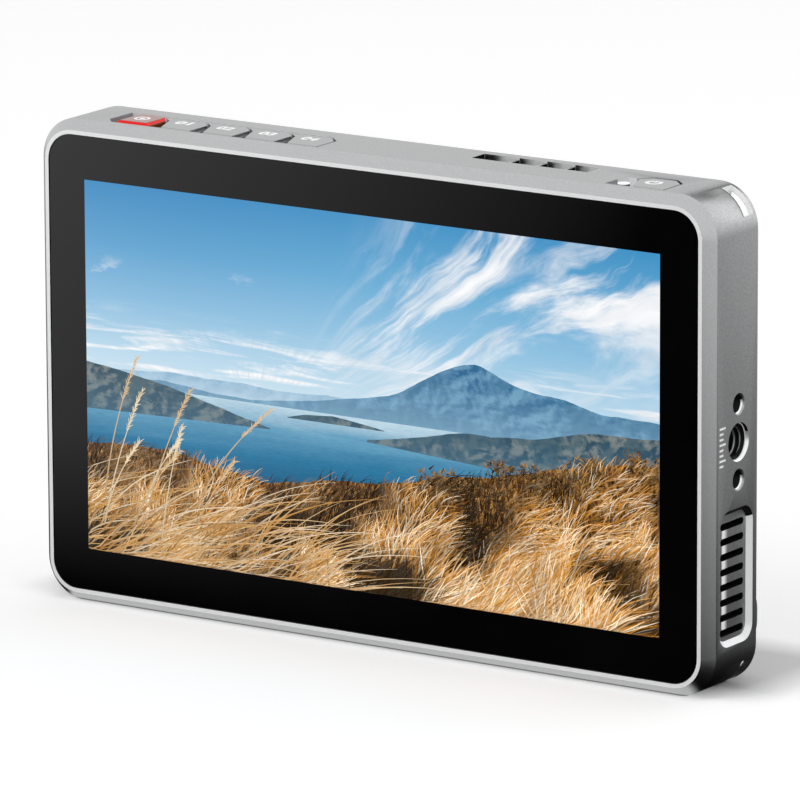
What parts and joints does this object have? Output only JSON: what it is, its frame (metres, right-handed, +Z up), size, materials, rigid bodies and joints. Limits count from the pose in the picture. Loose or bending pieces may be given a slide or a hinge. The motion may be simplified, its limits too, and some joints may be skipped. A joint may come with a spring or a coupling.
{
  "type": "camera field monitor",
  "caption": "Flat field monitor: metal case with a wide screen, top keys, fan outlet, tripod threads, corner slots and a slide-on battery mount.",
  "frame": {"origin": "middle of the box that holds the part, at its lowest face", "axes": "+X to the right as the screen is read, +Y from the glass to the back, +Z up"},
  "size_m": [0.1416, 0.021, 0.0892],
  "materials": {
    "case_metal": "sandblasted, clear anodised",
    "screen_glass": "polished, black printed border",
    "adhesive": "soft foam tape",
    "display": "lit display panel",
    "backlight": "white reflector film",
    "bracket_metal": "stamped sheet",
    "screw_steel": "dark plated",
    "circuit_board": "green solder mask",
    "chip": "moulded epoxy",
    "thermal_pad": "soft silicone",
    "heat_sink": "extruded",
    "fan_plastic": "moulded",
    "shaft_steel": "ground",
    "copper_coil": "varnished winding",
    "switch": "moulded",
    "light_pipe": "clear moulded",
    "red_key": "red lacquer",
    "grey_key": "satin",
    "plunger_plastic": "moulded",
    "rear_plastic": "fine textured",
    "mount_plastic": "glass filled",
    "contact_gold": "gold plated",
    "latch_plastic": "moulded",
    "socket_steel": "drawn shell",
    "jack_plastic": "moulded",
    "thread_steel": "turned",
    "flex_film": "polyimide film"
  },
  "bodies": {
    "case": {"main_housing": "case_metal", "cover_glass": "screen_glass", "glass_adhesive": "adhesive", "lcd_panel": "display", "backlight_unit": "backlight", "panel_bracket": "bracket_metal", "bracket_screws": "screw_steel", "board_screws": "screw_steel", "case_screws": "screw_steel", "battery_mount_screws": "screw_steel", "main_board": "circuit_board", "key_board": "circuit_board", "power_key_board": "circuit_board", "processor_chip": "chip", "memory_chips": "chip", "thermal_pad": "thermal_pad", "heat_sink": "heat_sink", "blower_housing": "fan_plastic", "blower_cover": "fan_plastic", "fan_axle": "shaft_steel", "latch_spring": "shaft_steel", "fan_stator": "copper_coil", "switch_housings": "switch", "status_light_pipe": "light_pipe", "rear_cover": "rear_plastic", "battery_mount": "mount_plastic", "battery_contacts": "contact_gold", "video_in_socket": "socket_steel", "video_out_socket": "socket_steel", "usb_socket": "socket_steel", "power_jack": "jack_plastic", "audio_jack": "jack_plastic", "side_thread_insert": "thread_steel", "bottom_thread_insert": "thread_steel", "screen_flex": "flex_film", "key_flex": "flex_film", "power_flex": "flex_film"},
    "fan_wheel": {"fan_rotor": "fan_plastic"},
    "latch": {"battery_latch": "latch_plastic"},
    "record_key": {"record_button": "red_key", "record_plunger": "plunger_plastic"},
    "function_1_key": {"function_button_1": "grey_key", "function_plunger_1": "plunger_plastic"},
    "function_2_key": {"function_button_2": "grey_key", "function_plunger_2": "plunger_plastic"},
    "function_3_key": {"function_button_3": "grey_key", "function_plunger_3": "plunger_plastic"},
    "function_4_key": {"function_button_4": "grey_key", "function_plunger_4": "plunger_plastic"},
    "power_key": {"power_button": "grey_key", "power_plunger": "plunger_plastic"}
  },
  "joints": [
    {"name": "fan_spin", "type": "hinge", "parent": "case", "child": "fan_wheel", "pos_m": [0.053, -0.0005, 0.023], "axis": [0, 1, 0], "continuous": true},
    {"name": "latch_slide", "type": "slide", "parent": "case", "child": "latch", "axis": [0, 0, 1], "range_m": [0, 0.0022], "stiffness_N_per_m": 300, "deforming": ["latch_spring"]},
    {"name": "record_press", "type": "slide", "parent": "case", "child": "record_key", "axis": [0, 0, -1], "range_m": [0, 0.00035], "stiffness_N_per_m": 400},
    {"name": "function_1_press", "type": "slide", "parent": "case", "child": "function_1_key", "axis": [0, 0, -1], "range_m": [0, 0.00035], "stiffness_N_per_m": 400},
    {"name": "function_2_press", "type": "slide", "parent": "case", "child": "function_2_key", "axis": [0, 0, -1], "range_m": [0, 0.00035], "stiffness_N_per_m": 400},
    {"name": "function_3_press", "type": "slide", "parent": "case", "child": "function_3_key", "axis": [0, 0, -1], "range_m": [0, 0.00035], "stiffness_N_per_m": 400},
    {"name": "function_4_press", "type": "slide", "parent": "case", "child": "function_4_key", "axis": [0, 0, -1], "range_m": [0, 0.00035], "stiffness_N_per_m": 400},
    {"name": "power_press", "type": "slide", "parent": "case", "child": "power_key", "axis": [0, 0, -1], "range_m": [0, 0.00035], "stiffness_N_per_m": 400}
  ]
}
